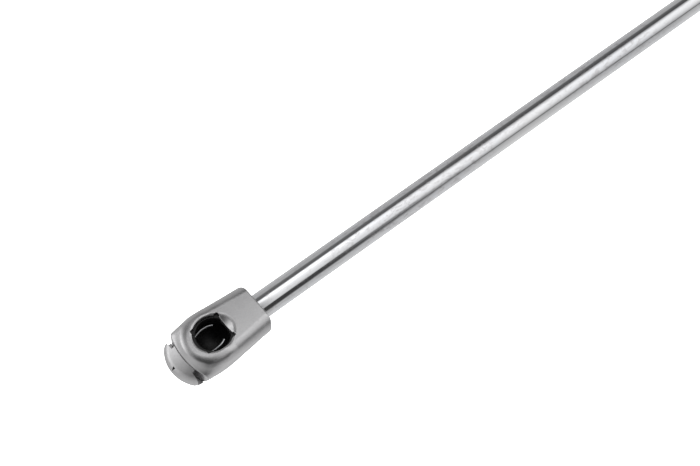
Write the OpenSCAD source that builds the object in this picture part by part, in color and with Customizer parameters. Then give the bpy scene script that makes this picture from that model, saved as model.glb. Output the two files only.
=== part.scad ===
// Gas strut stay with a ball socket at each end.
// Origin: the ball centre of the tube end socket. +X runs along the strut
// towards the rod end socket, +Z points out of both socket mouths.
// Drawn fully extended.

/* [Stay] */
// Distance between the two ball centres, fully extended
length_ext = 500; // [500:1:560]
// Stroke of the piston rod
stroke = 200; // [120:1:200]

/* [Cylinder] */
// Outer diameter of the cylinder tube
tube_d = 18; // [18:0.5:22]
// Wall thickness of the cylinder tube
tube_wall = 1.2; // [1:0.1:1.4]
// Depth of the rolled locking grooves
crimp_depth = 0.6; // [0.4:0.05:0.7]
// Thickness of the rolled-in tube ends
lip_t = 1.2; // [1:0.1:1.4]

/* [Rod] */
// Diameter of the piston rod
rod_d = 8; // [8:0.5:9]
// Diameter of the threaded ends that screw into the sockets
thread_d = 6; // [5:0.5:6]
// Pitch of those threads
thread_pitch = 1; // [0.75:0.05:1.2]
// Diameter of the stepped rod end that carries the piston
spigot_d = 5; // [4:0.5:5]

/* [Ball socket] */
// Diameter of the ball that the socket takes
ball_d = 10; // [9.8:0.05:10]
// Width of the socket body over the socket
body_w = 17.6; // [17:0.1:18]
// Width of the socket body at the rod
body_w_rod = 15.6; // [15:0.1:16.4]
// Height of the flat top face above the ball centre
top_z = 4.3; // [4.3:0.05:4.6]
// Depth of the underside below the ball centre
bottom_z = 6.4; // [6.4:0.1:6.8]
// Ball centre to the end face that the rod butts against
seat_u = 16; // [16:0.5:18]
// Ball centre to the joint line of the release cap
joint_u = 10.5; // [10.4:0.1:11]
// Ball centre to the tip of the release cap
nose_u = 14.4; // [14.2:0.1:15]
// Diameter of the spring clip wire
clip_wire_d = 0.9; // [0.8:0.05:1]

/* [Hidden] */
$fn = 96;

tube_r = tube_d / 2;
bore_r = tube_r - tube_wall;
rod_r = rod_d / 2;
thread_r = thread_d / 2;
spigot_r = spigot_d / 2;
slip = 0.03;                              // radial gap of close fits
bore_gap = 0.05;                          // gap of parts inside the tube

// Lengths along X
end_gap = 1.5;                            // tube end socket to tube
plug_len = 13.5;                          // part of the end plug in the tube
wiper_len = 3.2;                          // part of the wiper behind the lip
seal_washer_t = 1.5;
seal_len = 6;
guide_len = 8;
bumper_len = 4;
stop_washer_t = 1.5;
piston_len = 7;
disc_t = 1.1;
nut_len = 4;
screw_len = 7.8;                          // threaded ends, beyond their shoulder

// Stations along X
plug_face = seat_u;                       // end face of the tube end socket
tube_x0 = plug_face + end_gap;            // plug end of the tube
rod_face = length_ext - seat_u;           // end face of the rod end socket
tube_x1 = rod_face - stroke - 9.5;        // rod end of the tube
wiper_x0 = tube_x1 - lip_t - wiper_len;
seal_washer_x0 = wiper_x0 - seal_washer_t;
seal_x0 = seal_washer_x0 - seal_len;
guide_x0 = seal_x0 - guide_len;
bumper_x0 = guide_x0 - bumper_len;
rod_x0 = bumper_x0 - 0.3;                 // shoulder of the rod at the piston
stop_washer_x0 = rod_x0 - stop_washer_t;
piston_x0 = stop_washer_x0 - piston_len;
disc_x0 = piston_x0 - disc_t;
nut_x0 = disc_x0 - nut_len;
spigot_x0 = nut_x0 - 0.8;
plug_groove = 6;                          // locking groove, from tube_x0
guide_groove = guide_len / 2;             // locking groove, from guide_x0
o_ring_x = tube_x0 + plug_groove + 4.2;   // middle of the O-ring

// ---------------------------------------------------------------- helpers
// Outlines below list [radius, distance along X from the start of the part].

// Turns a solid drawn along +Z so that it runs along +X from x0
module along_x(x0) { translate([x0, 0, 0]) rotate([0, 90, 0]) children(); }

// Spins an outline about X, starting at x0
module turned(x0, outline) { along_x(x0) rotate_extrude() polygon(outline); }

// Plain ring along X
module ring_x(x0, length, r_out, r_in) {
    along_x(x0) difference() {
        cylinder(h = length, r = r_out);
        translate([0, 0, -1]) cylinder(h = length + 2, r = r_in);
    }
}

// Arc of the given radius about [centre_r, centre_z], in steps
function arc(centre_r, centre_z, radius, angle0, angle1, steps = 6) = [
    for (i = [0:steps])
        let (a = angle0 + (angle1 - angle0) * i / steps)
        [centre_r + radius * cos(a), centre_z + radius * sin(a)]
];

// Saw-tooth outline of a thread from z0 to z1, crest first
function thread_profile(z0, z1, radius, pitch) = [
    for (i = [0:floor((z1 - z0) / pitch) - 1], k = [0, 1])
        [radius - k * 0.55 * pitch, z0 + (i + k / 2) * pitch]
];

// ---------------------------------------------------------------- cylinder

plug_hole_r = 5.2;                        // hole in the plug end of the tube
rod_hole_r = 5.8;                         // hole in the rod end of the tube
tube_round = 2;                           // outer rounding of the tube ends
tube_bevel = 0.6;                         // inner corners of the tube ends
o_ring_seat_r = 6.1;

// Rolled groove: [distance from its middle, share of crimp_depth]
crimp_shape = [[-1.5, 0], [-0.8, 0.6], [0, 1], [0.8, 0.6], [1.5, 0]];

// Rolled groove in a wall; direction 1 runs along +X, -1 back
function crimp(radius, middle, direction) =
    [for (p = crimp_shape) [radius - crimp_depth * p[1], middle + direction * p[0]]];

// Groove in a part inside the tube, under a rolled groove
function crimp_seat(radius, middle) = [
    [radius, middle - 1.8],
    [radius - crimp_depth - bore_gap, middle - 1.1],
    [radius - crimp_depth - bore_gap, middle + 1.1],
    [radius, middle + 1.8]
];

module cylinder_tube() {
    length = tube_x1 - tube_x0;
    far_groove = guide_x0 + guide_groove - tube_x0;
    round_r = tube_r - tube_round;
    color("#26272b") turned(tube_x0, concat(
        [[plug_hole_r, 0]],
        arc(round_r, tube_round, tube_round, -90, 0),
        crimp(tube_r, plug_groove, 1),
        crimp(tube_r, far_groove, 1),
        arc(round_r, length - tube_round, tube_round, 0, 90),
        [[rod_hole_r, length], [rod_hole_r, length - lip_t]],
        [[bore_r - tube_bevel, length - lip_t], [bore_r, length - lip_t - tube_bevel]],
        crimp(bore_r, far_groove, -1),
        crimp(bore_r, plug_groove, -1),
        [[bore_r, lip_t + tube_bevel], [bore_r - tube_bevel, lip_t], [plug_hole_r, lip_t]]
    ));
}

module end_plug() {
    shoulder = -end_gap;                  // face against the socket
    ring_z = o_ring_x - tube_x0;
    outer_r = bore_r - bore_gap;
    relief_r = thread_r - 0.6;
    neck_r = plug_hole_r - 0.2;
    color("silver") turned(tube_x0, concat(
        [[0, shoulder - screw_len]],
        thread_profile(shoulder - screw_len, shoulder - 1, thread_r - slip, thread_pitch),
        [[relief_r, shoulder - 0.6], [relief_r, shoulder], [neck_r, shoulder], [neck_r, lip_t]],
        [[outer_r - 0.7, lip_t], [outer_r, lip_t + 0.7]],
        crimp_seat(outer_r, plug_groove),
        [[outer_r, ring_z - 1.1], [o_ring_seat_r, ring_z - 1.1]],
        [[o_ring_seat_r, ring_z + 1.1], [outer_r, ring_z + 1.1]],
        [[outer_r, plug_len - 0.8], [outer_r - 0.8, plug_len], [0, plug_len]]
    ));
}

module end_plug_o_ring() {
    color("#141414") along_x(o_ring_x) rotate_extrude()
        translate([(bore_r + o_ring_seat_r) / 2, 0])
            circle(r = (bore_r - o_ring_seat_r) / 2 - 0.01, $fn = 32);
}

module guide_bush() {
    outer_r = bore_r - bore_gap;
    inner_r = rod_r + slip;
    color("#8f7a4c") turned(guide_x0, concat(
        [[inner_r, 0], [outer_r - 0.5, 0], [outer_r, 0.5]],
        crimp_seat(outer_r, guide_groove),
        [[outer_r, guide_len], [inner_r, guide_len]]
    ));
}

// Two lips touch the rod, with a hollow between them
module rod_seal() {
    outer_r = bore_r - 0.02;
    lip_r = rod_r + 0.02;
    color("#1a1a1a") turned(seal_x0, [
        [rod_r + 0.3, 0], [outer_r - 0.5, 0], [outer_r, 0.6], [outer_r, 5.4],
        [outer_r - 0.4, seal_len], [rod_r + 0.3, seal_len],
        [lip_r, 4.6], [lip_r, 4.0], [rod_r + 0.5, 3.2],
        [rod_r + 0.5, 2.6], [lip_r, 1.6], [lip_r, 1.0]
    ]);
}

module seal_washer() {
    color("silver") ring_x(seal_washer_x0, seal_washer_t, bore_r - bore_gap, rod_r + 0.4);
}

module rod_wiper() {
    outer_r = bore_r - 0.1;
    inner_r = rod_r + slip;
    neck_r = rod_hole_r - bore_gap;
    lip_z = wiper_len + lip_t;            // outer face of the tube end
    color("#1c1c1c") turned(wiper_x0, [
        [inner_r, 0], [outer_r - 0.5, 0], [outer_r, 0.5], [outer_r, 2.5],
        [outer_r - 0.6, wiper_len], [neck_r, wiper_len], [neck_r, lip_z],
        [5.2, lip_z + 1.2], [rod_r + 0.5, lip_z + 2], [inner_r, lip_z + 2]
    ]);
}

module rebound_bumper() {
    inner_r = rod_r + 0.3;
    color("#2b2b2b") turned(bumper_x0, [
        [inner_r, 0], [6.6, 0], [7.1, 0.8], [6.8, 2], [7.1, 3.2],
        [6.6, bumper_len], [inner_r, bumper_len]
    ]);
}

// ---------------------------------------------------------------- rod and piston

spigot_bore_r = spigot_r + slip;          // bore of the parts on the spigot
ring_groove = [2.4, 4.7];                 // start and end, from piston_x0
ring_groove_r = 6.35;
passage_y = 4.6;                          // strut axis to a gas passage

// Round hole along X through the place of a gas passage
module passage(x0, length, radius) {
    translate([0, passage_y, 0]) along_x(x0) cylinder(h = length, r = radius, $fn = 32);
}

module piston_rod() {
    face = rod_face - spigot_x0;          // shoulder against the socket
    step = rod_x0 - spigot_x0;            // shoulder against the stop washer
    relief_r = thread_r - 0.6;
    color("#d8dadd") turned(spigot_x0, concat(
        [[0, 0]],
        thread_profile(0.4, 5, spigot_r - slip, 0.8),
        [[spigot_r - slip, 5.2], [spigot_r, 5.6], [spigot_r, step]],
        [[rod_r - 0.3, step], [rod_r, step + 0.3]],
        [[rod_r, face - 0.4], [rod_r - 0.4, face], [relief_r, face], [relief_r, face + 0.5]],
        thread_profile(face + 0.8, face + 7.6, thread_r - slip, thread_pitch),
        [[relief_r, face + screw_len], [0, face + screw_len]]
    ));
}

module stop_washer() {
    color("silver") ring_x(stop_washer_x0, stop_washer_t, 6.4, spigot_bore_r);
}

module piston() {
    outer_r = bore_r - 0.06;
    bevel = 0.5;
    color("#b9bcc0") difference() {
        turned(piston_x0, [
            [spigot_bore_r, 0], [outer_r - bevel, 0], [outer_r, bevel],
            [outer_r, ring_groove[0]], [ring_groove_r, ring_groove[0]],
            [ring_groove_r, ring_groove[1]], [outer_r, ring_groove[1]],
            [outer_r, piston_len - bevel], [outer_r - bevel, piston_len],
            [spigot_bore_r, piston_len]
        ]);
        for (a = [0:120:240]) rotate([a, 0, 0]) passage(piston_x0 - 1, piston_len + 2, 0.6);
    }
}

module piston_ring() {
    gap = 0.1;                            // to each side of the groove
    length = ring_groove[1] - ring_groove[0] - 2 * gap;
    color("#e4e2da")
        ring_x(piston_x0 + ring_groove[0] + gap, length, bore_r - 0.02, ring_groove_r + 0.05);
}

module orifice_disc() {
    color("silver") difference() {
        ring_x(disc_x0, disc_t, 6.6, spigot_bore_r);
        // metering hole, in line with one gas passage
        passage(disc_x0 - 1, 4, 0.3);
    }
}

module piston_nut() {
    color("silver") along_x(nut_x0) difference() {
        cylinder(h = nut_len, r = 4.62, $fn = 6);
        translate([0, 0, -1]) cylinder(h = nut_len + 2, r = spigot_bore_r);
    }
}

// ---------------------------------------------------------------- ball socket
// Drawn about the ball centre at the origin, the rod towards +X.

ball_r = ball_d / 2;
cup_r = ball_r + 0.7;                     // outside of the ball cup
pocket_r = cup_r + 0.02;                  // pocket of the housing round it
ball_clear = 0.05;
mouth_r = ball_r + 0.4;
seat_low = 0.6;                           // cylindrical seat below the ball centre
seat_high = 1.1;                          // and above it
cup_top = top_z - 0.1;
ledge_z = 1.6;                            // underside of the ledge on the rod side
flat_u = 4.45;                            // flat of the ball cup on the rod side
ear_angles = [42, 138, 222, 318];
clip_slope = 0.22;                        // rise of the clip legs per unit of length
clip_angle = atan(clip_slope);
clip_v = 3.8;                             // half the distance between the legs
clip_tip_u = 1.7;
clip_tip_z = 2.9;
clip_back_u = -11.9;
joint_bow = 20;                           // radius of the curved joint face

// Pair of spheres that round the body at half_width on both sides
module side_rounds(x, half_width, z, radius, facets) {
    for (side = [-1, 1])
        translate([x, side * (half_width - radius), z]) sphere(r = radius, $fn = facets);
}

// Cast outline of housing and cap together: flat top over the socket and the
// rod, a slope down to a low rounded nose, a well rounded underside.
module cast_body() {
    rod_half = body_w_rod / 2;
    socket_half = body_w / 2;
    socket_x = -3;
    corner_x = -nose_u + 4;               // rounded corners of the nose
    corner_y = 3.6;
    tip_x = -nose_u + 10;                 // centre of the arc of the tip
    hull() {
        side_rounds(seat_u - 1.3, rod_half, top_z - 1.3, 1.3, 24);
        side_rounds(seat_u - 4.4, rod_half, -bottom_z + 1.6 + 4.4, 4.4, 32);
        side_rounds(socket_x, socket_half, top_z - 1.6, 1.6, 24);
        side_rounds(socket_x, socket_half, -bottom_z + 4.6, 4.6, 32);
        for (side = [-1, 1]) {
            translate([corner_x, side * corner_y, -3.6]) cylinder(h = 3, r = 3.6, $fn = 48);
            translate([corner_x, side * corner_y, -4.6]) cylinder(h = 5.2, r = 2.6, $fn = 48);
        }
        // shallow arc of the tip
        intersection() {
            union() {
                translate([tip_x, 0, -3.6]) cylinder(h = 3, r = 10, $fn = 96);
                translate([tip_x, 0, -4.8]) cylinder(h = 5.4, r = 8.7, $fn = 96);
            }
            translate([-nose_u - 1, -5.4, -8]) cube([6, 10.8, 16]);
        }
    }
}

// Upright drum whose wall is the curved joint face
module joint_drum(gap = 0) {
    translate([joint_bow - joint_u, 0, -20]) cylinder(h = 40, r = joint_bow + gap);
}

// Windows at both ends of the joint line
module joint_windows() {
    for (side = [-1, 1])
        translate([-joint_u - 0.5, side * 5.7 - 1.4, -1.9]) cube([1.3, 2.8, 6]);
}

// Legs and bridge of the spring clip, fattened by grow, legs longer by extra
module clip_wire(grow = 0, extra = 0) {
    wire_r = clip_wire_d / 2 + grow;
    back_z = clip_tip_z + clip_slope * (clip_back_u - clip_tip_u);
    leg = (clip_tip_u - clip_back_u) / cos(clip_angle) + extra;
    for (side = [-1, 1]) translate([clip_back_u, side * clip_v, back_z]) {
        rotate([0, 90 - clip_angle, 0]) cylinder(h = leg, r = wire_r, $fn = 32);
        sphere(r = wire_r, $fn = 32);
    }
    translate([clip_back_u, clip_v, back_z]) rotate([90, 0, 0])
        cylinder(h = 2 * clip_v, r = wire_r, $fn = 32);
}

// Upper part of the ball cup, cut flat on the rod side
module flatted_drum(height, radius, flat) {
    intersection() {
        cylinder(h = height, r = radius);
        translate([-10, -10, 0]) cube([10 + flat, 20, 12]);
    }
}

// Four ears round the ball cup
module ears(inner_r, base_z, size) {
    for (a = ear_angles) rotate([0, 0, a])
        translate([inner_r, -size[1] / 2, base_z]) cube(size);
}

module socket_housing() {
    boss_u = 6;
    color("#a9aaae") difference() {
        union() {
            intersection() {
                cast_body();
                joint_drum();
            }
            // raised collar round the mouth
            cylinder(h = top_z, r = 7.1);
            // boss round the tapped hole
            along_x(boss_u) cylinder(h = seat_u - boss_u, r = top_z);
        }
        // pocket of the ball cup
        sphere(r = pocket_r);
        cylinder(h = ledge_z, r = pocket_r);
        flatted_drum(10, pocket_r, flat_u + 0.03);
        // clearance round the ball over the ledge
        cylinder(h = 10, r = mouth_r + 0.05);
        // oval relief of the mouth
        translate([0.9, 0, 2.4]) cylinder(h = 5, r = 5.72);
        translate([-0.9, 0, 3.6]) cylinder(h = 5, r = 5.72);
        // slots of the ears of the ball cup
        ears(4, 1.9, [2.4, 1.1, 6]);
        // tapped hole for the rod or the end plug
        along_x(7.6) cylinder(h = 12, r = thread_r);
        // guide holes of the clip legs
        clip_wire(0.1);
        joint_windows();
    }
}

module ball_cup() {
    rim_z = ledge_z - 0.05;
    color("#17171a") difference() {
        union() {
            rotate_extrude() polygon(concat(
                [[0, -cup_r]], arc(0, 0, cup_r, -84, 0, 14), [[cup_r, rim_z], [0, rim_z]]
            ));
            flatted_drum(cup_top, cup_r, flat_u);
            ears(5.55, 2, [0.75, 1, cup_top - 2.1]);
        }
        sphere(r = ball_r + ball_clear - 0.01);
        translate([0, 0, -seat_low])
            cylinder(h = seat_low + seat_high, r = ball_r + ball_clear);
        translate([0, 0, seat_high]) cylinder(h = 8, r = mouth_r);
        clip_wire(0.12, 0.6);
    }
}

module spring_clip() { color("#c9cbd0") clip_wire(); }

module release_cap() {
    color("#a4a5a9") difference() {
        cast_body();
        joint_drum(0.08);
        clip_wire(0.04);
        joint_windows();
        // three-cornered dent that takes the tip of a tool
        translate([-nose_u + 1.6, 0, -0.4]) cylinder(h = 3, r = 0.5, $fn = 3);
    }
}

// Turns a socket piece round and moves it to the rod end
module at_rod_end() { translate([length_ext, 0, 0]) rotate([0, 0, 180]) children(); }

module tube_end_housing() { socket_housing(); }
module tube_end_ball_cup() { ball_cup(); }
module tube_end_release_cap() { release_cap(); }
module tube_end_spring_clip() { spring_clip(); }
module rod_end_housing() { at_rod_end() socket_housing(); }
module rod_end_ball_cup() { at_rod_end() ball_cup(); }
module rod_end_release_cap() { at_rod_end() release_cap(); }
module rod_end_spring_clip() { at_rod_end() spring_clip(); }

cylinder_tube();
end_plug();
end_plug_o_ring();
guide_bush();
rod_seal();
seal_washer();
rod_wiper();
rebound_bumper();
tube_end_housing();
tube_end_ball_cup();
tube_end_release_cap();
tube_end_spring_clip();
piston_ring();
piston_rod();
piston();
stop_washer();
orifice_disc();
piston_nut();
rod_end_housing();
rod_end_ball_cup();
rod_end_release_cap();
rod_end_spring_clip();
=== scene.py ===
"""A gas strut with a cast ball socket at each end.

The strut lies along X: the tube end's ball centre is at x = 0, the piston rod and its socket
are towards +X, and both socket mouths open to +Z. Shapes are worked out in millimetres and
turned into metres as the meshes are made.
"""
import functools
import math
import bpy
import bmesh
import numpy as np
from mathutils import Vector, Matrix


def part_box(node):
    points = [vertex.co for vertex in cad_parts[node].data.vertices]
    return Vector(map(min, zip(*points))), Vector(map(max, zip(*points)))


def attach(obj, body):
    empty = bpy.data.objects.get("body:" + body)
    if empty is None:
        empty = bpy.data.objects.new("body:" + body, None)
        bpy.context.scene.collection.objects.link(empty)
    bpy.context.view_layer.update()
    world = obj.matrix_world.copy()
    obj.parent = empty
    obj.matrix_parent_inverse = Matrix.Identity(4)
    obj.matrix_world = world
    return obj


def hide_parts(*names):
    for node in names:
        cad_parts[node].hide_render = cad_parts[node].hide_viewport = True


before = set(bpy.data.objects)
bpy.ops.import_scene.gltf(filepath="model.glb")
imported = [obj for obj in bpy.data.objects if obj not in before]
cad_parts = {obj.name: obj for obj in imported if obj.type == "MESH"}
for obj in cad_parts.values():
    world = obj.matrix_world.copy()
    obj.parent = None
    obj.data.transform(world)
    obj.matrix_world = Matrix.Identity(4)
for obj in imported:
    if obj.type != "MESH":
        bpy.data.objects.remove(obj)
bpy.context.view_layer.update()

SCENE = bpy.context.scene
MM = 0.001

# ------------------------------------------------------------------ stations, mm
TUBE_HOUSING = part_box("tube_end_housing")
ROD_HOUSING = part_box("rod_end_housing")
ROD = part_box("piston_rod")
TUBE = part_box("cylinder_tube")
SEAT_X = TUBE_HOUSING[1][0] / MM                # ball centre to end face
ROD_BALL_X = ROD_HOUSING[0][0] / MM + SEAT_X
TOP_Z = TUBE_HOUSING[1][2] / MM
ROD_R = (ROD[1][2] - ROD[0][2]) / 2 / MM
TUBE_R = (TUBE[1][2] - TUBE[0][2]) / 2 / MM
TUBE_X0 = TUBE[0][0] / MM
TUBE_X1 = TUBE[1][0] / MM

CELL = 0.17             # grid of the cast meshes


# ------------------------------------------------------------------ distance fields
# A field is negative inside its solid. A factor on a sloped face brings its field back
# near true distance.
def length(*parts):
    return np.sqrt(sum(part * part for part in parts))


def meet(*fields):
    """Sharp intersection."""
    return functools.reduce(np.maximum, fields)


def join(*fields):
    """Sharp union."""
    return functools.reduce(np.minimum, fields)


def carve(solid, hole):
    return np.maximum(solid, -hole)


def round_meet(first, second, radius):
    """Intersection with a rounded edge."""
    outside = length(np.maximum(radius + first, 0), np.maximum(radius + second, 0))
    return np.minimum(-radius, np.maximum(first, second)) + outside


def round_join(first, second, radius):
    """Union with a fillet."""
    inside = length(np.maximum(radius - first, 0), np.maximum(radius - second, 0))
    return np.maximum(radius, np.minimum(first, second)) - inside


def round_carve(solid, hole, radius):
    return round_meet(solid, -hole, radius)


def box_field(point, low, high, radius):
    centre = [(a + b) / 2 for a, b in zip(low, high)]
    half = [(b - a) / 2 - radius for a, b in zip(low, high)]
    gap = [np.abs(point[i] - centre[i]) - half[i] for i in range(3)]
    return length(*[np.maximum(side, 0) for side in gap]) + np.minimum(meet(*gap), 0) - radius


def stadium(x, y, start, end, radius):
    """Slot outline along x, between the centres of its round ends."""
    return length(x - np.clip(x, start, end), y) - radius


def curve(x, table):
    """Smooth curve (monotone cubic) through rows of (x, value)."""
    xs, values = np.array(table, float).T
    rise = np.diff(values) / np.diff(xs)
    slope = np.zeros_like(values)
    slope[0], slope[-1] = rise[0], rise[-1]
    for i in range(1, len(values) - 1):
        if rise[i - 1] * rise[i] > 0:
            slope[i] = 2 * rise[i - 1] * rise[i] / (rise[i - 1] + rise[i])
    x = np.clip(x, xs[0], xs[-1])
    i = np.clip(np.searchsorted(xs, x) - 1, 0, len(xs) - 2)
    span = xs[i + 1] - xs[i]
    t = (x - xs[i]) / span
    return (
        values[i] * (1 + 2 * t) * (1 - t) ** 2 + slope[i] * span * t * (1 - t) ** 2
        + values[i + 1] * t * t * (3 - 2 * t) + slope[i + 1] * span * t * t * (t - 1)
    )


# ------------------------------------------------------------------ the cast socket
# Socket axes: x towards the rod or tube, y across, z out of the mouth, ball centre at 0.
JOINT_X = 10.45         # ball centre back to the joint of housing and cap, at y = 0
JOINT_R = 20.0          # curve of the joint, seen from above
NOSE_X = 14.65          # ball centre back to the tip of the cap
NOSE_R = 11.0
SLOPE = 0.54            # rise of the top from the nose
LIFT = 0.6              # the cast outside is raised by this
CUP_TOP = TOP_Z - 0.6
POCKET_R = 5.72         # pocket of the housing that holds the ball cup
CUP_R = 5.69
SEAT_R = 5.05           # ball seat in the cup
MOUTH_GAP = 0.03        # play between cup and mouth
EARS = [math.radians(angle) for angle in (42, 138, 222, 318)]
SIDES = (-1, 1)

# (x, half width of the housing)
HALF_WIDTH = (
    (-16, 8.0), (-13, 8.25), (-10.6, 8.55), (-8, 8.84), (-5, 8.95),
    (-2, 8.92), (3, 8.7), (8, 8.38), (12.5, 8.12), (16.2, 7.98),
)
# (x, height of the underside)
UNDERSIDE = (
    (-15, -4.8), (-11, -5.2), (-7, -5.8), (-2, -6.3), (6, -5.7), (12, -4.7), (16, -4.4),
)
# (x, radius of the edge between top and sides)
TOP_EDGE = ((-12, 1.1), (-8, 1.6), (-4, 2.4), (0, 2.9), (8, 3.3), (16, 3.8))


def cast_slope(x, y, drop=0.0):
    """Crowned height of the slope down to the nose."""
    return 1.05 - drop + SLOPE * (x + JOINT_X) - 0.017 * (y * y)


def cast_field(x, y, z):
    """Outside of the housing."""
    z = z - LIFT
    side = np.abs(y) - curve(x, HALF_WIDTH)
    flat = TOP_Z - 0.0022 * (y * y)
    top = round_meet(z - flat, (z - cast_slope(x, y)) * 0.88, 2.0)
    # flared collar round the mouth, sinking towards the end face
    sink = 0.5 * np.clip((x + 0.5) / 3.5, 0, 1) ** 2
    flare = 1.35 * np.tanh((TOP_Z - z) / 1.25)
    collar = (stadium(x, y, -1.35, 0.5, 7.15) - flare) * 0.66
    collar = round_meet(collar, side + 0.75, 1.5)
    collar = round_meet(collar, z - TOP_Z + 0.3 + 3 * sink, 0.9)
    under = (curve(x, UNDERSIDE) - z) * 0.985
    body = round_meet(side, top, curve(x, TOP_EDGE))
    body = round_meet(body, under, 4.8)
    body = round_join(body, round_meet(collar, under, 2.0), 1.6)
    # square end face with rounded corners
    corner = round_meet(side - 1.0, x - SEAT_X, 3.5)
    return round_meet(body, corner, 0.42)


def nose_field(x, y, z):
    """Outside of the release cap, a step lower than the housing."""
    z = z - LIFT
    plan = round_meet(np.abs(y) - 7.9, length(x + NOSE_X - NOSE_R, y) - NOSE_R, 1.2)
    body = round_meet(plan, (z - cast_slope(x, y, drop=0.14)) * 0.88, 1.55)
    return round_meet(body, -4.8 - 0.04 * (x + 15.0) - z, 1.9)


def joint_face(x, y):
    """Curved face between housing (inside) and cap (outside)."""
    return length(x + JOINT_X - JOINT_R, y) - JOINT_R


def ear(x, y, z, angle, grow, low, high):
    """Pointed ear of the ball cup, between heights low and high."""
    cosine, sine = math.cos(angle), math.sin(angle)
    along = x * cosine + y * sine
    across = np.abs(-x * sine + y * cosine)
    tip = (along - 6.42 - grow * 1.41) * 0.78 + across * 0.62
    return meet(tip, 5.1 - along, across - 0.75 - grow, low - z, z - high)


def mouth_line(x, y):
    return stadium(x, y, -0.5, 0.2, 5.42)


LEG_SLOPE = 0.22        # rise of the clip legs towards the end face


def leg_height(x):
    return 2.9 + LEG_SLOPE * (x - 1.7)


def leg_slot(x, y, z, side, radius, stop):
    """Guide slot of one clip leg, up to x = stop, wide enough for its bow to slide through."""
    lean = math.sqrt(1 + LEG_SLOPE * LEG_SLOPE)
    across = np.maximum(np.abs(y - side * 3.42) - 0.42, 0)
    rise = np.maximum(np.abs((z - leg_height(x)) / lean + 0.2) - 0.25, 0)
    return meet(length(across, rise) - radius, x - stop, -12.4 - x)


def housing_field(x, y, z):
    solid = round_meet(cast_field(x, y, z), joint_face(x, y), 0.1)
    # mouth with its rounded rim, open down to the ball cup
    opening = mouth_line(x, y) - MOUTH_GAP
    solid = round_carve(solid, meet(opening, CUP_TOP - 0.3 - z, x - 4.5), 0.75)
    # scooped relief on the end face side
    scoop = (length(x - 1.95, y) - 4.65 - (z - TOP_Z - LIFT) / 0.62) * 0.5
    solid = round_carve(solid, meet(scoop, 4.3 - x), 0.3)
    # pocket of the ball cup
    around = length(x, y)
    ball = length(around, z)
    pocket = join(meet(around - POCKET_R, -z, z - 1.6), ball - POCKET_R)
    pocket = meet(pocket, z - 1.6)
    bore = meet(opening, x - 4.48, -z)
    solid = carve(solid, join(pocket, bore, ball - 5.1))
    for angle in EARS:
        solid = carve(solid, ear(x, y, z, angle, grow=0.04, low=2.0, high=9.0))
    # round hole from the end face for the rod or tube end
    solid = carve(solid, meet(length(y, z) - 3.0, 7.6 - x))
    for side in SIDES:
        solid = carve(solid, leg_slot(x, y, z, side, radius=0.4, stop=-3.2))
    # flash line of the mould along the sides
    ridge = np.clip(1 - np.abs(z + 1.35 - 0.02 * x) / 0.13, 0, 1)
    return solid - 0.05 * ridge * np.clip((x + 8) / 2, 0, 1) * (np.abs(y) > 5.0)


def cap_field(x, y, z):
    solid = round_meet(nose_field(x, y, z), -(joint_face(x, y) - 0.03), 0.1)
    windows = box_field((x, np.abs(y), z), (-10.95, 4.62, -3.3), (-7.5, 12.0, 6.0), 0.1)
    solid = round_carve(solid, windows, 0.1)
    # three-cornered dent near the tip
    along = x + 13.85
    dent = meet(-along * 0.5 + y * 0.866, -along * 0.5 - y * 0.866, along) - 0.24
    return round_carve(solid, meet(dent, -2.6 - z), 0.05)


def cup_field(x, y, z):
    around = length(x, y)
    ball = length(around, z)
    bowl = join(meet(ball - CUP_R, z), meet(around - CUP_R, -z - 0.01, z - 1.55))
    wall = meet(mouth_line(x, y), x - 4.45)
    solid = join(bowl, meet(round_meet(wall, z - CUP_TOP, 0.12), 1.0 - z))
    for angle in EARS:
        solid = join(solid, ear(x, y, z, angle, grow=0.0, low=2.05, high=CUP_TOP + 0.1))
    seat = join(ball - SEAT_R, meet(around - SEAT_R, -0.6 - z, z - 1.3))
    solid = carve(solid, seat)
    # lead-in above the seat
    solid = round_carve(solid, meet(around - 5.06, 1.1 - z), 0.08)
    for side in SIDES:
        solid = carve(solid, leg_slot(x, y, z, side, radius=0.42, stop=2.3))
    return solid


# ------------------------------------------------------------------ meshing
def onto_surface(field, start, cell):
    """Moves points onto field = 0, at most 0.9 cell away. Returns points and normals."""
    offset = 0.02

    def value(points):
        return field(*points.T)

    def gradient(points):
        result = np.empty_like(points)
        for i in range(3):
            step = np.zeros(3)
            step[i] = offset
            result[:, i] = (value(points + step) - value(points - step)) / (2 * offset)
        return result

    points = start.copy()
    for _ in range(4):
        slope = gradient(points)
        steep = np.maximum((slope * slope).sum(1), 0.2)[:, None]
        step = value(points)[:, None] * slope / steep
        points = points - np.clip(step, -0.4 * cell, 0.4 * cell)
        move = points - start
        size = np.linalg.norm(move, axis=1)[:, None]
        points = start + move * np.minimum(1, 0.9 * cell / np.maximum(size, 1e-9))
    normals = gradient(points)
    normals /= np.maximum(np.linalg.norm(normals, axis=1), 1e-9)[:, None]
    return points, normals


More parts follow.
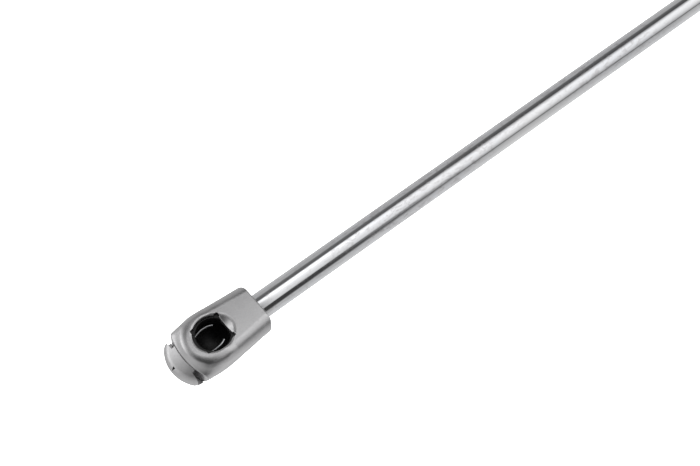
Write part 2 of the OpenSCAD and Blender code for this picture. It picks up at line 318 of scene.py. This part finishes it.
def surface_net(field, low, high, cell):
    """Quad mesh of field = 0 within a box. Returns points, quads and normals."""
    axes = [np.arange(a, b + cell, cell) for a, b in zip(low, high)]
    shape = [len(axis) for axis in axes]
    values = np.empty(shape, np.float32)
    x, y = np.meshgrid(axes[0], axes[1], indexing="ij")
    for k, z in enumerate(axes[2]):
        values[:, :, k] = field(x, y, np.full_like(x, z))

    # each grid edge that crosses the surface adds its crossing to the four cells round it
    cells = [size - 1 for size in shape]
    total = np.zeros(cells + [3], np.float32)
    count = np.zeros(cells, np.float32)
    crossings = []
    for axis in range(3):
        lower, upper = [slice(None)] * 3, [slice(None)] * 3
        lower[axis], upper[axis] = slice(0, -1), slice(1, None)
        before, after = values[tuple(lower)], values[tuple(upper)]
        hit = (before < 0) != (after < 0)
        edge = np.argwhere(hit)
        before, after = before[hit], after[hit]
        crossing = edge.astype(np.float32)
        crossing[:, axis] += before / (before - after)
        others = [other for other in range(3) if other != axis]
        inner = np.ones(len(edge), bool)
        for other in others:
            inner &= (edge[:, other] > 0) & (edge[:, other] < shape[other] - 1)
        edge, crossing, before = edge[inner], crossing[inner], before[inner]
        corners = []
        for shift in ((-1, -1), (0, -1), (0, 0), (-1, 0)):
            corner = edge.copy()
            corner[:, others] += shift
            corner = tuple(corner.T)
            corners.append(corner)
            np.add.at(total, corner, crossing)
            np.add.at(count, corner, 1)
        crossings.append((axis, corners, before < 0))

    # one point per crossed cell, one quad per crossed edge, facing out
    active = count > 0
    index = -np.ones(cells, np.int64)
    index[active] = np.arange(int(active.sum()))
    points = total[active] / count[active][:, None] * cell + np.array(low, np.float32)
    quads = []
    for axis, corners, leaving in crossings:
        quad = np.stack([index[corner] for corner in corners], 1)
        keep = leaving if axis != 1 else ~leaving
        quad[~keep] = quad[~keep][:, ::-1]
        quads.append(quad)
    points, normals = onto_surface(field, points.astype(np.float64), cell)
    return points, np.concatenate(quads), normals


def shade_smooth(mesh):
    mesh.polygons.foreach_set("use_smooth", np.ones(len(mesh.polygons), bool))


def mesh_from_quads(name, points, quads, normals):
    mesh = bpy.data.meshes.new(name)
    mesh.vertices.add(len(points))
    mesh.vertices.foreach_set("co", (points * MM).astype(np.float32).ravel())
    mesh.loops.add(quads.size)
    mesh.loops.foreach_set("vertex_index", quads.astype(np.int32).ravel())
    mesh.polygons.add(len(quads))
    mesh.polygons.foreach_set("loop_start", np.arange(0, quads.size, 4, dtype=np.int32))
    mesh.polygons.foreach_set("loop_total", np.full(len(quads), 4, np.int32))
    mesh.update(calc_edges=True)
    mesh.validate()
    shade_smooth(mesh)
    mesh.normals_split_custom_set_from_vertices([tuple(normal) for normal in normals])
    mesh.update()
    return mesh


def mesh_from_bmesh(name, bm):
    mesh = bpy.data.meshes.new(name)
    bm.to_mesh(mesh)
    bm.free()
    return mesh


def wire_mesh(name, path, radius, segments):
    """A round wire along a list of points, with domed ends."""
    tangents = np.gradient(path, axis=0)
    tangents /= np.linalg.norm(tangents, axis=1)[:, None]
    across = np.array([0.0, 0.0, 1.0])
    turns = (np.arange(segments) / segments * 2 * math.pi)[:, None]
    rings = []
    for centre, tangent in zip(path, tangents):
        across = across - tangent * (across @ tangent)
        across /= np.linalg.norm(across)
        outward = np.cos(turns) * across + np.sin(turns) * np.cross(tangent, across)
        rings.append(centre + outward * radius)

    bulge = radius * 0.6

    def dome(end, outward):
        out = []
        for k in (1, 2, 3):
            angle = k / 4 * math.pi / 2
            ring = path[end] + (rings[end] - path[end]) * math.cos(angle)
            out.append(ring + outward * bulge * math.sin(angle))
        return out

    poles = [[path[0] - tangents[0] * bulge], [path[-1] + tangents[-1] * bulge]]
    rings = dome(0, -tangents[0])[::-1] + rings + dome(-1, tangents[-1])
    bm = bmesh.new()
    verts = [bm.verts.new(Vector(point) * MM) for point in np.concatenate(rings + poles)]
    first, last = verts[-2:]
    rings = [verts[i * segments:(i + 1) * segments] for i in range(len(rings))]
    for ring, after in zip(rings, rings[1:]):
        for j in range(segments):
            k = (j + 1) % segments
            bm.faces.new((ring[j], ring[k], after[k], after[j]))
    for j in range(segments):
        k = (j + 1) % segments
        bm.faces.new((first, rings[0][k], rings[0][j]))
        bm.faces.new((last, rings[-1][j], rings[-1][k]))
    bmesh.ops.recalc_face_normals(bm, faces=bm.faces)
    mesh = mesh_from_bmesh(name, bm)
    shade_smooth(mesh)
    return mesh


def lathe(name, outline, segments, closed):
    """Turns an outline of (x, radius) round the X axis, leaving out repeated points."""
    profile = [outline[0]]
    for x, radius in outline[1:]:
        if abs(x - profile[-1][0]) + abs(radius - profile[-1][1]) > 1e-4:
            profile.append((x, radius))
    bm = bmesh.new()
    rings = []
    for x, radius in profile:
        if radius < 1e-6:
            rings.append([bm.verts.new((x * MM, 0, 0))])
            continue
        ring = []
        for j in range(segments):
            angle = 2 * math.pi * j / segments
            y, z = radius * MM * math.cos(angle), radius * MM * math.sin(angle)
            ring.append(bm.verts.new((x * MM, y, z)))
        rings.append(ring)
    for i in range(len(rings) if closed else len(rings) - 1):
        ring, after = rings[i], rings[(i + 1) % len(rings)]
        for j in range(segments):
            k = (j + 1) % segments
            if len(ring) == 1:
                bm.faces.new((ring[0], after[k], after[j]))
            elif len(after) == 1:
                bm.faces.new((ring[j], ring[k], after[0]))
            else:
                bm.faces.new((ring[j], ring[k], after[k], after[j]))
    bmesh.ops.recalc_face_normals(bm, faces=bm.faces)
    mesh = mesh_from_bmesh(name, bm)
    shade_smooth(mesh)
    mesh.set_sharp_from_angle(angle=math.radians(32))
    return mesh


# ------------------------------------------------------------------ shader graphs
class Graph:
    """Builds a node tree. Inputs may be sockets to link or plain values."""

    def __init__(self, tree):
        self.tree = tree
        tree.nodes.clear()

    def add(self, kind, **settings):
        node = self.tree.nodes.new(kind)
        for key, value in settings.items():
            setattr(node, key, value)
        return node

    def feed(self, socket, value):
        if isinstance(value, bpy.types.NodeSocket):
            self.tree.links.new(value, socket)
        else:
            socket.default_value = value

    def coord(self, scale=(1, 1, 1)):
        """Object coordinates; a small scale draws a texture out along that axis."""
        mapping = self.add("ShaderNodeMapping")
        mapping.inputs["Scale"].default_value = scale
        self.feed(mapping.inputs["Vector"], self.add("ShaderNodeTexCoord").outputs["Object"])
        return mapping.outputs[0]

    def noise(self, vector, scale, detail, roughness, distortion=0.0):
        node = self.add("ShaderNodeTexNoise")
        node.inputs["Scale"].default_value = scale
        node.inputs["Detail"].default_value = detail
        node.inputs["Roughness"].default_value = roughness
        node.inputs["Distortion"].default_value = distortion
        self.feed(node.inputs["Vector"], vector)
        return node.outputs["Fac"]

    def ramp(self, factor, stops, interpolation="EASE"):
        """Colour ramp from (position, grey or colour) stops."""
        node = self.add("ShaderNodeValToRGB")
        node.color_ramp.interpolation = interpolation
        elements = node.color_ramp.elements
        while len(elements) > 1:
            elements.remove(elements[-1])
        for i, (position, value) in enumerate(stops):
            element = elements[0] if i == 0 else elements.new(position)
            element.position = position
            element.color = value if isinstance(value, tuple) else (value, value, value, 1)
        self.feed(node.inputs[0], factor)
        return node.outputs[0]

    def blend(self, factor, low, high, start=0.3, end=0.7):
        """Two-stop ramp from low to high."""
        return self.ramp(factor, [(start, low), (end, high)])

    def math(self, operation, *values):
        node = self.add("ShaderNodeMath", operation=operation)
        for socket, value in zip(node.inputs, values):
            self.feed(socket, value)
        return node.outputs[0]

    def mix(self, factor, first, second, blend_type="MIX"):
        node = self.add("ShaderNodeMix", data_type="RGBA", blend_type=blend_type)
        self.feed(node.inputs[0], factor)
        self.feed(node.inputs[6], first)
        self.feed(node.inputs[7], second)
        return node.outputs[2]

    def bump(self, height, strength, distance, normal=None):
        node = self.add("ShaderNodeBump")
        node.inputs["Strength"].default_value = strength
        node.inputs["Distance"].default_value = distance
        self.feed(node.inputs["Height"], height)
        if normal is not None:
            self.feed(node.inputs["Normal"], normal)
        return node.outputs[0]


class MaterialGraph(Graph):
    """Graph of a new material with one principled shader."""

    def __init__(self, name):
        self.material = bpy.data.materials.new(name)
        self.material.use_nodes = True
        super().__init__(self.material.node_tree)
        output = self.add("ShaderNodeOutputMaterial")
        self.shader = self.add("ShaderNodeBsdfPrincipled")
        self.feed(output.inputs[0], self.shader.outputs[0])

    def shade(self, **inputs):
        """Sets shader inputs, with _ for each space, and returns the material."""
        for name, value in inputs.items():
            self.feed(self.shader.inputs[name.replace("_", " ")], value)
        return self.material


def grey(tone):
    return (tone, tone, tone * 1.01, 1.0)


def scaled(tone, factor):
    return tuple(part * factor for part in tone) + (1,)


# ------------------------------------------------------------------ materials
def cast_zinc(name):
    g = MaterialGraph(name)
    place = g.coord()
    cloud = g.noise(place, scale=260, detail=3, roughness=0.5, distortion=0.4)
    grain = g.noise(place, scale=2600, detail=4, roughness=0.6)
    speck = g.noise(place, scale=7000, detail=2, roughness=0.5)
    base = g.blend(cloud, (0.46, 0.458, 0.464, 1), (0.515, 0.513, 0.518, 1))
    darker = g.blend(grain, 0.0, 0.25, start=0.45, end=0.75)
    base = g.mix(darker, base, (0.36, 0.36, 0.37, 1))
    rough = g.blend(cloud, 0.31, 0.38, start=0.25, end=0.75)
    grain_rough = g.math("MULTIPLY", g.blend(grain, 0.0, 1.0, start=0.3, end=0.8), 0.06)
    rough = g.math("ADD", grain_rough, rough)
    normal = g.bump(grain, strength=0.16, distance=0.00003)
    normal = g.bump(speck, strength=0.2, distance=0.000008, normal=normal)
    normal = g.bump(cloud, strength=0.2, distance=0.00004, normal=normal)
    return g.shade(Base_Color=base, Metallic=1.0, Roughness=rough, Normal=normal)


def rod_chrome(name):
    g = MaterialGraph(name)
    # oil film and smudges, drawn out a little along the rod
    along = g.coord((0.45, 1, 1))
    film = g.noise(along, scale=620, detail=6, roughness=0.68, distortion=1.2)
    blot = g.noise(along, scale=70, detail=3, roughness=0.5, distortion=0.6)
    patches = g.noise(g.coord((0.25, 1, 1)), scale=34, detail=2, roughness=0.5)
    oily = g.blend(patches, 0.0, 1.0, start=0.40, end=0.56)
    smear = g.math("MULTIPLY", g.blend(film, 0.0, 1.0, start=0.47, end=0.60), oily)
    base = g.blend(blot, (0.62, 0.63, 0.64, 1), (0.68, 0.68, 0.685, 1))
    tint = g.ramp(film, [
        (0.35, (0.60, 0.62, 0.68, 1)), (0.5, (0.62, 0.62, 0.64, 1)), (0.65, (0.66, 0.63, 0.60, 1)),
    ])
    base = g.mix(g.math("MULTIPLY", oily, 0.5), base, tint)
    base = g.mix(g.math("MULTIPLY", smear, 0.6), base, (0.42, 0.42, 0.45, 1))
    rough = g.math("ADD", g.math("MULTIPLY", smear, 0.16), 0.07)
    # grinding lines run round the rod
    lines = g.noise(g.coord((1, 0.02, 0.02)), scale=9000, detail=2, roughness=0.5)
    normal = g.bump(lines, strength=0.05, distance=0.000004)
    normal = g.bump(film, strength=0.22, distance=0.00001, normal=normal)
    return g.shade(Base_Color=base, Metallic=1.0, Roughness=rough, Normal=normal)


def hard_plastic(name, tone, rough):
    g = MaterialGraph(name)
    place = g.coord()
    mottle = g.noise(place, scale=900, detail=4, roughness=0.6)
    grain = g.noise(place, scale=5200, detail=3, roughness=0.6)
    return g.shade(
        Base_Color=g.blend(mottle, grey(tone * 0.8), grey(tone * 1.4)),
        Roughness=g.blend(mottle, rough - 0.06, rough + 0.08),
        Normal=g.bump(grain, strength=0.25, distance=0.00002),
        Specular_IOR_Level=0.4,
    )


def spring_steel(name):
    g = MaterialGraph(name)
    mottle = g.noise(g.coord(), scale=1800, detail=3, roughness=0.5)
    drawn = g.noise(g.coord((0.1, 1, 1)), scale=9000, detail=2, roughness=0.5)
    return g.shade(
        Base_Color=g.blend(mottle, (0.30, 0.31, 0.32, 1), (0.42, 0.42, 0.43, 1)),
        Metallic=1.0,
        Roughness=g.blend(mottle, 0.16, 0.28),
        Normal=g.bump(drawn, strength=0.2, distance=0.00001),
    )


def tube_paint(name):
    g = MaterialGraph(name)
    place = g.coord()
    peel = g.noise(place, scale=1500, detail=2, roughness=0.45)
    cloud = g.noise(place, scale=60, detail=4, roughness=0.55)
    scuff = g.noise(g.coord((0.15, 1, 1)), scale=900, detail=5, roughness=0.7, distortion=0.3)
    base = g.blend(cloud, grey(0.014), grey(0.022))
    base = g.mix(g.blend(scuff, 0.0, 0.35, start=0.66, end=0.74), base, grey(0.07))
    return g.shade(
        Base_Color=base,
        Roughness=g.blend(cloud, 0.26, 0.36),
        Normal=g.bump(peel, strength=0.22, distance=0.00005),
        Coat_Weight=0.35,
        Coat_Roughness=0.12,
    )


def metal(name, tone, rough, turned=True):
    """Bare metal, with turning lines round the X axis or a plain grain."""
    g = MaterialGraph(name)
    place = g.coord()
    mottle = g.noise(place, scale=700, detail=3, roughness=0.5)
    if turned:
        relief = g.noise(g.coord((1, 0.05, 0.05)), scale=6000, detail=2, roughness=0.5)
    else:
        relief = g.noise(place, scale=3000, detail=3, roughness=0.5)
    return g.shade(
        Base_Color=g.blend(mottle, scaled(tone, 0.86), scaled(tone, 1.1)),
        Metallic=1.0,
        Roughness=g.blend(mottle, rough - 0.05, rough + 0.07),
        Normal=g.bump(relief, strength=0.25, distance=0.00002),
    )


def soft(name, tone, rough):
    g = MaterialGraph(name)
    mottle = g.noise(g.coord(), scale=1200, detail=4, roughness=0.6)
    return g.shade(
        Base_Color=g.blend(mottle, scaled(tone, 0.8), scaled(tone, 1.2)),
        Roughness=g.blend(mottle, rough - 0.08, rough + 0.08),
        Normal=g.bump(mottle, strength=0.2, distance=0.00003),
    )


# name: (function, its settings, the nodes it paints)
MATERIAL_TABLE = {
    "cast_zinc": (cast_zinc, {}, (
        "tube_end_housing", "tube_end_release_cap", "rod_end_housing", "rod_end_release_cap")),
    "rod_chrome": (rod_chrome, {}, ("piston_rod",)),
    "black_plastic": (hard_plastic, dict(tone=0.008, rough=0.5), (
        "tube_end_ball_cup", "rod_end_ball_cup")),
    "spring_steel": (spring_steel, {}, ("tube_end_spring_clip", "rod_end_spring_clip")),
    "tube_paint": (tube_paint, {}, ("cylinder_tube",)),
    "plated_steel": (metal, dict(tone=(0.56, 0.57, 0.58), rough=0.3), (
        "end_plug", "seal_washer", "stop_washer", "orifice_disc", "piston_nut")),
    "piston_alloy": (metal, dict(tone=(0.66, 0.67, 0.68), rough=0.34), ("piston",)),
    "guide_brass": (metal, dict(tone=(0.50, 0.36, 0.17), rough=0.42, turned=False), (
        "guide_bush",)),
    "seal_rubber": (soft, dict(tone=(0.018, 0.018, 0.018), rough=0.62), (
        "end_plug_o_ring", "rod_seal", "rebound_bumper")),
    "white_ptfe": (soft, dict(tone=(0.75, 0.74, 0.70), rough=0.5), ("piston_ring",)),
    "wiper_plastic": (hard_plastic, dict(tone=0.014, rough=0.42), ("rod_wiper",)),
}
MATERIALS = {
    name: make(name, **settings) for name, (make, settings, _) in MATERIAL_TABLE.items()
}
for name, (_, _, nodes) in MATERIAL_TABLE.items():
    for node in nodes:
        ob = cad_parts[node]
        if not ob.material_slots:
            ob.data.materials.append(MATERIALS[name])
        for slot in ob.material_slots:
            slot.material = MATERIALS[name]


def add_object(name, mesh, material):
    ob = bpy.data.objects.new(name, mesh)
    SCENE.collection.objects.link(ob)
    mesh.materials.append(material)
    return ob


def add_piece(mesh, material, body, node):
    """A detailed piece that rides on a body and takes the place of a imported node."""
    ob = add_object(mesh.name, mesh, MATERIALS[material])
    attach(ob, body)
    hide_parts(node)


# ------------------------------------------------------------------ socket pieces
WIRE_R = 0.34
LEG_START, LEG_END = -11.7, 1.95
LEG_Y = 3.8             # half the distance between the legs at the bridge
BEND_R = 0.6
BEND_DROP = 0.13
# (x, y) of a leg: straight in its guide, bowed round the ball
LEG_BOW = (
    (LEG_START, LEG_Y), (-8.5, LEG_Y), (-6.0, 3.55), (-4.6, 3.05), (-3.2, 3.38),
    (-1.6, 3.6), (0.2, 3.45), (1.2, 3.15), (LEG_END, 2.8),
)
MIRROR = np.array([1, -1, 1])


def clip_path():
    """Middle line of the U of wire: leg, bridge, leg."""
    x = np.linspace(LEG_START, LEG_END, 72)
    y = curve(x, LEG_BOW)
    for _ in range(5):
        y[1:-1] = (y[:-2] + 2 * y[1:-1] + y[2:]) / 4
    z = leg_height(x)
    z -= 1.3 * np.clip((-10.3 - x) / 1.4, 0, 1) ** 2
    z -= 0.5 * np.clip((x + 3.0) / 5.0, 0, 1) ** 2
    leg = np.stack([x, y, z], 1)
    turn = np.linspace(0, math.pi / 2, 7)[1:-1]
    bend = np.stack([
        x[0] - BEND_R * np.sin(turn),
        LEG_Y - BEND_R * (1 - np.cos(turn)),
        z[0] - BEND_DROP * np.sin(turn),
    ], 1)
    return np.concatenate([leg[::-1], bend, bend[::-1] * MIRROR, leg * MIRROR])


# part: (material, surface net)
CASTINGS = {
    "housing": ("cast_zinc", surface_net(
        housing_field, low=(-11.2, -9.4, -7.2), high=(17.0, 9.4, 5.2), cell=CELL)),
    "release_cap": ("cast_zinc", surface_net(
        cap_field, low=(-15.2, -9.4, -7.2), high=(-8.4, 9.4, 3.2), cell=CELL * 0.8)),
    "ball_cup": ("black_plastic", surface_net(
        cup_field, low=(-7, -7, -6.2), high=(7, 7, 4.4), cell=CELL * 0.8)),
}
# end, body, ball centre x, direction of the socket's x and y axes
ENDS = (("tube", "cylinder", 0.0, 1), ("rod", "rod", ROD_BALL_X, -1))
for end, body, ball_x, direction in ENDS:
    facing = np.array([direction, direction, 1])
    centre = np.array([ball_x, 0, 0])
    cap_body = f"{end}_end_release"
    for part, (material, (points, quads, normals)) in CASTINGS.items():
        mesh = mesh_from_quads(
            f"{end}_end_{part}_cast", points * facing + centre, quads, normals * facing)
        part_body = cap_body if part == "release_cap" else body
        add_piece(mesh, material, part_body, f"{end}_end_{part}")
    wire = wire_mesh(
        f"{end}_end_clip_wire", clip_path() * facing + centre, radius=WIRE_R, segments=20)
    add_piece(wire, "spring_steel", cap_body, f"{end}_end_spring_clip")


# ------------------------------------------------------------------ rod and tube
def arc(x, height, radius, start, end, steps):
    """Arc of (x, radius) points round a centre; angles in degrees from straight out."""
    angles = [math.radians(start + (end - start) * i / steps) for i in range(steps + 1)]
    return [(x + radius * math.sin(a), height + radius * math.cos(a)) for a in angles]


def straight(start, end, radius, steps):
    return [(x, radius) for x in np.linspace(start, end, steps + 1)]


def thread(start, pitch, turns, tooth):
    """Rings that stand in for a thread, from one tooth's (x, radius) points."""
    return [(start + i * pitch + x, radius) for i in range(turns) for x, radius in tooth]


def rod_outline():
    """From the piston end to the end screwed into the socket."""
    inner = ROD[0][0] / MM
    shoulder = inner + 14.4
    face = ROD_BALL_X - SEAT_X
    round_in, round_out = 0.3, 0.1          # edge radii of the ground length
    tooth_in = ((0.2, 2.47), (0.4, 2.1), (0.6, 2.1), (0.8, 2.47))
    tooth_out = ((0.25, 2.95), (0.4, 2.95), (0.7, 2.4), (0.9, 2.4))
    return [
        (inner, 0), (inner, 2.1), (inner + 0.4, 2.47),
        *thread(inner + 0.4, pitch=0.8, turns=6, tooth=tooth_in),
        (shoulder, 2.5),
        *arc(shoulder + round_in, ROD_R - round_in, round_in, -90, 0, steps=5),
        *straight(shoulder + 2 * round_in, face - round_out, ROD_R, steps=24),
        *arc(face - round_out, ROD_R - round_out, round_out, 0, 90, steps=3),
        (face, 2.4), (face + 0.6, 2.4),
        *thread(face + 0.6, pitch=1.0, turns=7, tooth=tooth_out),
        (face + 7.8, 2.3), (face + 7.8, 0),
    ]


def groove(x):
    """Rolled groove round the tube, centred at x."""
    depth, half, steps = 0.6, 1.5, 12
    shares = [2 * i / steps - 1 for i in range(steps + 1)]
    return [(x + half * s, TUBE_R - depth * 0.5 * (1 + math.cos(math.pi * s))) for s in shares]


def tube_outline():
    """Outside from the tube end to the rod end, then back along the bore."""
    first, second = TUBE_X0 + 6.0, TUBE_X1 - 15.9       # groove centres
    curl = 2                                            # radius of the rolled ends
    mouth0, mouth1 = 5.2, 5.8                           # radii of the end openings
    bore = TUBE_R - 1.2
    return [
        (TUBE_X0 + 0.15, mouth0), (TUBE_X0, mouth0 + 0.15),
        *arc(TUBE_X0 + curl, TUBE_R - curl, curl, -90, 0, steps=12),
        *groove(first),
        *straight(first + 2, second - 2, TUBE_R, steps=20),
        *groove(second),
        *arc(TUBE_X1 - curl, TUBE_R - curl, curl, 0, 90, steps=12),
        (TUBE_X1, mouth1 + 0.15), (TUBE_X1 - 0.15, mouth1), (TUBE_X1 - 1.2, mouth1),
        (TUBE_X1 - 1.2, bore - 0.6), (TUBE_X1 - 1.8, bore),
        (TUBE_X0 + 1.8, bore), (TUBE_X0 + 1.2, bore - 0.6), (TUBE_X0 + 1.2, mouth0),
    ]


rod = lathe("piston_rod_ground", rod_outline(), segments=192, closed=False)
add_piece(rod, "rod_chrome", "rod", "piston_rod")
tube = lathe("cylinder_tube_rolled", tube_outline(), segments=160, closed=True)
add_piece(tube, "tube_paint", "cylinder", "cylinder_tube")

# ------------------------------------------------------------------ stage, metres
FLOOR_Z = -0.030
FLOOR_HALF = 4


def floor_white():
    """White to the camera; in reflections a soft grey that changes along Y."""
    g = MaterialGraph("floor_white")
    camera_ray = g.add("ShaderNodeLightPath").outputs["Is Camera Ray"]
    split = g.add("ShaderNodeSeparateXYZ")
    g.feed(split.inputs[0], g.add("ShaderNodeNewGeometry").outputs["Position"])
    across = g.math("MULTIPLY_ADD", split.outputs["Y"], 2.5, 0.5)
    tone = g.ramp(across, [
        (0.30, 0.55), (0.48, 0.60), (0.53, 0.72), (0.60, 0.66), (0.75, 0.56), (1.0, 0.56),
    ])
    glow = g.math(
        "ADD", g.math("MULTIPLY", camera_ray, 2.0), g.math("MULTIPLY", tone, 1.25))
    return g.shade(
        Base_Color=(0.0, 0.0, 0.0, 1),
        Roughness=1.0,
        Specular_IOR_Level=0.0,
        Emission_Color=(1, 1, 1, 1),
        Emission_Strength=glow,
    )


bm = bmesh.new()
for x, y in ((-1, -1), (1, -1), (1, 1), (-1, 1)):
    bm.verts.new((x * FLOOR_HALF, y * FLOOR_HALF, FLOOR_Z))
bm.faces.new(bm.verts)
add_object("floor", mesh_from_bmesh("floor", bm), floor_white())

# ------------------------------------------------------------------ world
TO_CAMERA = (0.3598, 0.3223, 0.8756)
# (degrees round the strut from straight up towards +Y, brightness):
# a softbox overhead with dark gaps on both sides, in pale surroundings
BANDS = (
    (-180, 0.3), (-92, 0.3), (-62, 0.30), (-50, 0.10), (-27, 0.08), (-17, 0.95), (-5, 1.0),
    (10, 0.72), (30, 0.57), (46, 0.5), (52, 0.035), (80, 0.035), (88, 0.22), (92, 0.3), (180, 0.3),
)
# the same towards -X, where the +Y gap closes to a hairline
FAR_BANDS = (
    (-180, 0.3), (-62, 0.30), (-50, 0.09), (-22, 0.05), (-10, 0.45), (2, 0.72), (12, 0.74),
    (30, 0.66), (48, 0.52), (60, 0.36), (68, 0.25), (70.5, 0.03), (73, 0.03), (76, 0.3), (180, 0.3),
)
# (degrees from the camera direction, brightness)
CAMERA_SHADE = ((54, 1.0), (43, 0.80), (30, 0.16), (22, 0.02))


def build_world():
    world = bpy.data.worlds.new("studio")
    SCENE.world = world
    world.use_nodes = True
    g = Graph(world.node_tree)
    output = g.add("ShaderNodeOutputWorld")
    background = g.add("ShaderNodeBackground")
    g.feed(output.inputs[0], background.outputs[0])
    view = g.add("ShaderNodeTexCoord").outputs["Generated"]
    split = g.add("ShaderNodeSeparateXYZ")
    g.feed(split.inputs[0], view)
    x, y, z = split.outputs

    def ramp(factor, stops):
        return g.ramp(factor, stops, interpolation="LINEAR")

    def from_zero(value):
        """Brings -1..1 to 0..1."""
        return g.math("MULTIPLY_ADD", value, 0.5, 0.5)

    def band_ramp(table):
        return ramp(angle, [(0.5 + degrees / 360.0, tone) for degrees, tone in table])

    angle = from_zero(g.math("DIVIDE", g.math("ARCTAN2", y, z), math.pi))
    near = band_ramp(BANDS)
    far = band_ramp(FAR_BANDS)
    far_share = ramp(from_zero(x), [(0.0, 1.0), (0.28, 1.0), (0.33, 0.0), (1.0, 0.0)])
    bands = g.mix(far_share, near, far)
    # towards +X a plain fall-off along Y takes over
    plain = ramp(from_zero(y), [
        (0.0, 1.0), (0.2, 1.0), (0.33, 0.54), (0.5, 0.38), (0.75, 0.28), (1.0, 0.28),
    ])
    plain_share = ramp(x, [(0.0, 0.0), (0.22, 0.0), (0.5, 1.0), (1.0, 1.0)])
    light = g.mix(plain_share, bands, plain)
    # the camera itself is a dark patch, except towards -X
    dot = g.add("ShaderNodeVectorMath", operation="DOT_PRODUCT")
    g.feed(dot.inputs[0], view)
    dot.inputs[1].default_value = TO_CAMERA
    stops = [(math.cos(math.radians(degrees)), tone) for degrees, tone in CAMERA_SHADE]
    patch = ramp(dot.outputs["Value"], [(0.0, 1.0), *stops, (1.0, 0.02)])
    patch_share = ramp(from_zero(x), [(0.0, 0.0), (0.39, 0.0), (0.56, 1.0), (1.0, 1.0)])
    light = g.mix(patch_share, light, patch, blend_type="MULTIPLY")
    g.feed(background.inputs["Color"], light)
    background.inputs["Strength"].default_value = 1.9


# ------------------------------------------------------------------ camera
def build_camera():
    data = bpy.data.cameras.new("camera")
    camera = bpy.data.objects.new("camera", data)
    SCENE.collection.objects.link(camera)
    SCENE.camera = camera
    data.sensor_fit = "HORIZONTAL"
    data.sensor_width = 36.0
    data.lens = 82.285714
    data.clip_start = 0.01
    data.clip_end = 20.0
    data.shift_x = 0.000142857
    data.shift_y = -0.000285714
    right = Vector((-0.7681, 0.6351, 0.0819)).normalized()
    forward = -Vector(TO_CAMERA)
    forward = (forward - right * forward.dot(right)).normalized()
    up = right.cross(forward).normalized()
    roll = 0.008
    cosine, sine = math.cos(roll), math.sin(roll)
    right, up = right * cosine - up * sine, right * sine + up * cosine
    eye = Vector((ROD_BALL_X + 117.6, 150.4, 415.9)) * MM
    turn = Matrix((right, up, -forward)).transposed()
    camera.matrix_world = Matrix.Translation(eye) @ turn.to_4x4()


build_world()
build_camera()

SCENE.view_settings.view_transform = "Standard"
SCENE.view_settings.look = "None"
SCENE.view_settings.exposure = 0.0
SCENE.view_settings.gamma = 1.0
